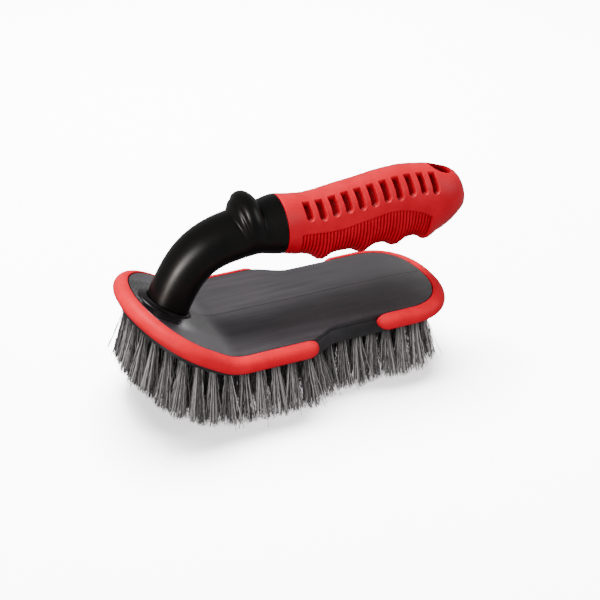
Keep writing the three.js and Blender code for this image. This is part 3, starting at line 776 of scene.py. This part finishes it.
def paint_hole_shade(mesh):
    """Paints shade on the hole's wall, deeper with distance below its mouth."""
    count = len(mesh.vertices)
    flat = np.empty(count * 3, np.float32)
    mesh.vertices.foreach_get("co", flat)
    points = flat.reshape(-1, 3).astype(float) * 1000 - DATUM
    layer = mesh.attributes["depth"]
    depth = np.empty(count, np.float32)
    layer.data.foreach_get("value", depth)
    mouth = JUNCTION_Z + GRIP_BACK(points[:, 0] - JUNCTION_X) - 3.0
    wall = np.abs(from_hole(points)) < 0.04
    # painted shade: the hole's wall darkens with distance below its mouth
    depth = np.where(wall, 4.2 * smooth((mouth - points[:, 2] + 1.5) / 3.0), depth)
    layer.data.foreach_set("value", depth.astype(np.float32))


def cut_hang_hole(mesh):
    """The oval hanging hole, cut straight down through the tail."""
    cols = 72
    turn = np.linspace(0, 2 * np.pi, cols, endpoint=False)
    straight = (HANG_LENGTH - HANG_WIDTH) / 2
    r = HANG_WIDTH / 2
    middle = JUNCTION_X + L - HOLE_FROM_TIP
    x = middle + r * np.cos(turn) + straight * np.sign(np.cos(turn))
    x = np.where(np.abs(np.cos(turn)) < 1e-6, middle, x)
    y = r * np.sin(turn)
    below, above = 0.0, 120.0
    levels = np.concatenate([[below] * 2, np.linspace(45.0, 72.0, 28), [above] * 2])
    scale = np.concatenate([[0.0], np.ones(len(levels) - 2), [0.0]])[:, None]
    points = np.stack([middle + (x - middle) * scale, y * scale, levels[:, None] + 0 * x], -1)
    cutter_mesh = mesh_of("hang_cutter", points.reshape(-1, 3), grid_quads(len(levels), cols))
    close_up(cutter_mesh)
    cutter = bpy.data.objects.new("hang_cutter", cutter_mesh)
    body = bpy.data.objects.new("grip_body", mesh)
    for made in (cutter, body):
        bpy.context.scene.collection.objects.link(made)
    hole = body.modifiers.new("hole", "BOOLEAN")
    hole.operation = "DIFFERENCE"
    hole.solver = "EXACT"
    hole.object = cutter
    bpy.context.view_layer.update()
    result = bpy.data.meshes.new_from_object(body.evaluated_get(bpy.context.evaluated_depsgraph_get()))
    result.name = "grip_skin"
    paint_hole_shade(result)
    for made in (cutter, body):
        bpy.data.objects.remove(made)
    put("grip_skin", result, "red_rubber", "grip_sleeve", material=GRIP)


# ---------------------------------------------------------------- bristles

STRETCH = (BEND_RADIUS + HEAD_DEPTH) / BEND_RADIUS
BEND_LENGTH = BEND_RADIUS * BEND_ANGLE


def to_underside(s):
    """Distance along the block's underside, which the bend stretches, of a place s along the plate."""
    return s - np.clip(BEND_START - s, 0, BEND_LENGTH) * (STRETCH - 1)


def from_underside(u):
    """The place s along the plate of a distance along the underside."""
    return u + np.clip((BEND_START - u) / STRETCH, 0, BEND_LENGTH) * (STRETCH - 1)


def inset_half_width(s, inset):
    """Half-width of the outline drawn in along its normals."""
    outline = fine_outline()[:OUTLINE_POINTS]
    inner = outline - normals_of(outline, False) * inset
    return np.interp(s, inner[:, 0], -inner[:, 1])


def inner_rows():
    """Straight rows across the head, each with an even number of tufts: (s, y, outward s, outward y)."""
    inset = TUFT_INSET + TUFT_PITCH + 1
    first, last = to_underside(inset - NOSE_REACH), to_underside(TAIL_REACH - inset)
    gaps = round(float(last - first) / TUFT_PITCH)
    rows = []
    for s in from_underside(first + (last - first) * np.arange(gaps + 1) / gaps):
        reach = float(inset_half_width(s, TUFT_INSET + TUFT_PITCH))
        count = 2 * max(1, round(reach / TUFT_PITCH + 0.5))
        y = np.linspace(-reach, reach, count)
        rows.append(np.stack([0 * y + s, y, 0 * y, 0 * y], -1))
    return rows


def edge_runs():
    """Tufts that follow the wall all the way round, in equal runs: (s, y, outward s, outward y)."""
    outline = fine_outline()[:-1]
    out = normals_of(outline, True)
    inner = outline - out * TUFT_INSET
    inner = np.stack([to_underside(inner[:, 0]), inner[:, 1]], -1)
    loop = np.concatenate([inner, inner[:1]])
    length = polyline_length(loop)
    per_run = round(length / (EDGE_RUNS * TUFT_PITCH))
    total = EDGE_RUNS * per_run
    reach = (np.arange(total) + 0.5) * length / total
    place = along(loop, reach)
    closed = np.concatenate([out, out[:1]])
    normal = along(closed, np.interp(reach, cumulative(loop), cumulative(closed)))
    rows = np.concatenate([from_underside(place[:, :1]), place[:, 1:], normal], -1)
    return np.split(rows, EDGE_RUNS)


def tip_height(x):
    """Height of the trimmed tips: level, then rising as a parabola under the nose."""
    return GROUND + TIP_RISE * (np.maximum(0, -TIP_RISE_START - x) / TIP_RISE_SPAN) ** 2


SIDES = 3
LEVELS = 9
STRAY_SHARE = 0.07
BRIGHT_SHARE = 0.34
CRIMP_HEIGHT = 0.27
TRIM_STEPS = 4


def filaments(tufts, per_tuft, spread):
    """Crimped filaments of many tufts: each starts inside its hole, fans out and ends at the trim line.

    A filament's path is root + axis * reach + offset, where the offset grows from its place in the hole to
    its place in the tip, plus a sine crimp whose plane, phase and length differ from filament to filament.
    """
    total = len(tufts) * per_tuft
    s, y, out_s, out_y = np.repeat(tufts, per_tuft, 0).T
    root = on_plate(s, y, -HEAD_DEPTH)
    lean = NOSE_LEAN * np.clip((LEAN_START - s) / (NOSE_REACH + LEAN_START), 0, 1)
    axis = np.stack([-np.sin(lean), 0 * lean, -np.cos(lean)], -1)
    turn = rng.uniform(0, 2 * np.pi, total)
    radius = np.sqrt(rng.uniform(0, 1, total))
    disc = np.stack([np.cos(turn), np.sin(turn), 0 * turn], -1) * radius[:, None]
    tuft_swing = np.repeat(rng.normal(0, 0.7, (len(tufts), 3)) * [1, 1, 0], per_tuft, 0)
    stray = np.where(rng.uniform(0, 1, total) < STRAY_SHARE, rng.uniform(1.4, 2.2, total), 1.0)
    outward = np.stack([out_s, out_y, 0 * out_s], -1)
    flare = 0.6 + 4.4 * smooth((s + 68) / 34)
    tip_offset = disc * (spread * stray)[:, None] + outward * flare[:, None] + tuft_swing
    tip_offset = tip_offset + rng.normal(0, 0.5, (total, 3)) * [1, 1, 0]
    u = np.linspace(0, 1, LEVELS)
    length = np.full(total, BRISTLE_LENGTH)
    for _ in range(TRIM_STEPS):
        tip_x = root[:, 0] + tip_offset[:, 0] - np.sin(lean) * length
        length = (root[:, 2] - tip_height(tip_x)) / np.cos(lean)
    length = length * rng.uniform(0.945, 1.0, total)
    fan = u[None, :, None] ** 1.1
    path = root[:, None] + axis[:, None] * (length[:, None] * u - HOLE_DEPTH * (1 - u) ** 6)[..., None]
    path = path + disc[:, None] * (HOLE_RADIUS - 0.35) * (1 - fan) + tip_offset[:, None] * fan
    plane = rng.uniform(0, 2 * np.pi, total)
    crimp_axis = np.stack([np.cos(plane), np.sin(plane), 0 * plane], -1)
    phase = rng.uniform(0, 2 * np.pi, total)[:, None]
    wave = rng.uniform(7.5, 13.0, total)[:, None]
    crimp = CRIMP_HEIGHT * np.sin(2 * np.pi * length[:, None] * u / wave + phase) * smooth(u / 0.15)
    path = path + crimp_axis[:, None] * crimp[..., None]
    path[..., 2] = np.maximum(path[..., 2], GROUND + 0.02)
    bright = rng.uniform(0, 1, total) < BRIGHT_SHARE
    thick = np.where(bright, rng.uniform(0.18, 0.25, total), rng.uniform(0.13, 0.19, total))
    corner = np.arange(SIDES) * 2 * np.pi / SIDES + phase
    ring = np.stack([np.cos(corner), np.sin(corner), 0 * corner], -1)
    points = path[:, :, None] + ring[:, None] * thick[:, None, None, None]
    tone = np.where(bright, rng.uniform(0.55, 1.0, total), rng.uniform(0.0, 0.38, total))
    return points, tone, u


def make_bristles(name, node, tufts, per_tuft, spread):
    """One row of tufts as one mesh of filaments, with each filament's tone and reach as attributes."""
    points, tone, u = filaments(tufts, per_tuft, spread)
    total = len(points)
    block = LEVELS * SIDES
    one = grid_quads(LEVELS, SIDES)[:, ::-1]
    quads = (one[None] + (np.arange(total) * block)[:, None, None]).reshape(-1, 4)
    mesh = mesh_of(name, points.reshape(-1, 3), quads)
    cap_tips(mesh, total, block)
    carried = {"tone": np.repeat(tone, block), "reach": np.tile(np.repeat(u, SIDES), total)}
    for key, values in carried.items():
        layer = mesh.attributes.new(key, "FLOAT", "POINT")
        layer.data.foreach_set("value", values.astype(np.float32))
    put(name, mesh, "bristle_nylon", node, material=BRISTLE)


def cap_tips(mesh, total, block):
    """Adds the two end triangles of every filament."""
    start = np.arange(total)[:, None] * block
    root = start + np.array([[0, 1, 2]])
    tip = start + block - SIDES + np.array([[2, 1, 0]])
    caps = np.concatenate([root, tip]).astype(np.int32)
    loops, faces = len(mesh.loops), len(mesh.polygons)
    mesh.loops.add(caps.size)
    mesh.polygons.add(len(caps))
    index = np.empty(len(mesh.loops), np.int32)
    mesh.loops.foreach_get("vertex_index", index)
    index[loops:] = caps.ravel()
    mesh.loops.foreach_set("vertex_index", index)
    starts = np.empty(len(mesh.polygons), np.int32)
    mesh.polygons.foreach_get("loop_start", starts)
    starts[faces:] = loops + 3 * np.arange(len(caps))
    mesh.polygons.foreach_set("loop_start", starts)
    mesh.update(calc_edges=True)


# ---------------------------------------------------------------- assembly

make_deck()
make_collar()
make_block()
make_bumper("nose_bumper_skin", "nose_bumper", lambda s: s <= NOSE_ARM_END, from_tail=True)
make_bumper("tail_bumper_skin", "tail_bumper", lambda s: s >= TAIL_ARM_END)
make_neck()
make_grip()
for number, run in enumerate(edge_runs(), 1):
    make_bristles(f"edge_bristles_{number:02d}", f"edge_tufts_{number:02d}", run, 120, 5.6)
for number, row in enumerate(inner_rows(), 1):
    make_bristles(f"row_bristles_{number:02d}", f"tuft_row_{number:02d}", row, 64, 5.4)
for node in ("handle_screw", "cover_screw_1", "cover_screw_2", "cover_screw_3"):
    frame["nodes"][node].material_slots[0].material = STEEL

# ---------------------------------------------------------------- stage, light and camera


def make_floor():
    """A square of white paper that the brush stands on."""
    mesh = bpy.data.meshes.new("floor")
    side = 6.0
    corners = [(-side, -side, 0), (side, -side, 0), (side, side, 0), (-side, side, 0)]
    mesh.from_pydata(corners, [], [(0, 1, 2, 3)])
    floor = bpy.data.objects.new("floor", mesh)
    bpy.context.scene.collection.objects.link(floor)
    shade = Shader("floor_paper", Roughness=0.9, Specular_IOR_Level=0.1)
    vector = shade.place()[0]
    shade.link("Base Color", shade.mix(shade.noise(vector, 4, 1), rgb(250, 247, 247), rgb(252, 250, 250)))
    shade.bsdf.inputs["Emission Color"].default_value = (1.0, 0.95, 0.965, 1.0)
    shade.bsdf.inputs["Emission Strength"].default_value = 0.95
    mesh.materials.append(shade.material)
    floor.visible_diffuse = False
    floor.visible_glossy = False
    return floor


def area_light(name, place, target, size, power, colour=(1, 1, 1)):
    """A round lamp at a place, turned to its target."""
    light = bpy.data.lights.new(name, "AREA")
    light.shape = "DISK"
    light.size = size
    light.energy = power
    light.color = colour
    lamp = bpy.data.objects.new(name, light)
    lamp.location = place
    lamp.rotation_euler = (Vector(target) - Vector(place)).to_track_quat("-Z", "Y").to_euler()
    bpy.context.scene.collection.objects.link(lamp)
    return lamp


def light_only(lamp, *lit):
    """Lets a lamp light only some objects; the rest still cast its shadow."""
    receivers = bpy.data.collections.new(lamp.name + "_receivers")
    for thing in lit:
        receivers.objects.link(thing)
    lamp.light_linking.receiver_collection = receivers


def make_world(strength):
    """Even light from all round."""
    made = bpy.data.worlds.new("studio")
    made.use_nodes = True
    background = next(n for n in made.node_tree.nodes if n.type == "BACKGROUND")
    background.inputs[0].default_value = (1.0, 0.985, 0.985, 1.0)
    background.inputs[1].default_value = strength
    bpy.context.scene.world = made


CAMERA_AZIMUTH = math.radians(-24.1)
CAMERA_ELEVATION = math.radians(30.5)
CAMERA_DISTANCE = 0.8
CAMERA_LENS = 82.75
CAMERA_SHIFT = (0.0248, 0.0028)


def make_camera():
    """The camera: it looks at the deck's middle from its azimuth, elevation and distance."""
    azimuth, elevation = CAMERA_AZIMUTH, CAMERA_ELEVATION
    back = Vector(
        (
            math.sin(azimuth) * math.cos(elevation),
            -math.cos(azimuth) * math.cos(elevation),
            math.sin(elevation),
        )
    )
    target = Vector(world([0, 0, 0]).tolist())
    lens = bpy.data.cameras.new("camera")
    lens.sensor_width = 36.0
    lens.lens = CAMERA_LENS
    lens.shift_x, lens.shift_y = CAMERA_SHIFT
    camera = bpy.data.objects.new("camera", lens)
    camera.location = target + back * CAMERA_DISTANCE
    camera.rotation_euler = back.to_track_quat("Z", "Y").to_euler()
    bpy.context.scene.collection.objects.link(camera)
    bpy.context.scene.camera = camera


floor = make_floor()
make_camera()
make_world(0.42)
middle = world([0, 0, 20]).tolist()
deck, neck = bpy.data.objects["deck_cover_skin"], bpy.data.objects["neck_skin"]
key = area_light("key", (-0.25, 0.35, 0.95), middle, 0.45, 20)
light_only(key, *[thing for thing in bpy.context.scene.objects if thing.type == "MESH" and thing != neck])
area_light("front", (-0.75, -0.6, 0.55), middle, 0.5, 9)
area_light("fill", (0.8, -0.5, 0.5), middle, 0.7, 4)
card = area_light("card", (0.88, 1.0, 0.34), middle, 0.34, 2.0)
light_only(card, deck)
strip = area_light("strip", (-0.9, -0.52, 0.34), middle, 0.3, 11, (1.0, 0.88, 0.8))
light_only(strip, neck)
paper = area_light("paper", (0.2, 0.6, 1.4), middle, 1.0, 250, (1.0, 0.98, 0.985))
light_only(paper, floor)

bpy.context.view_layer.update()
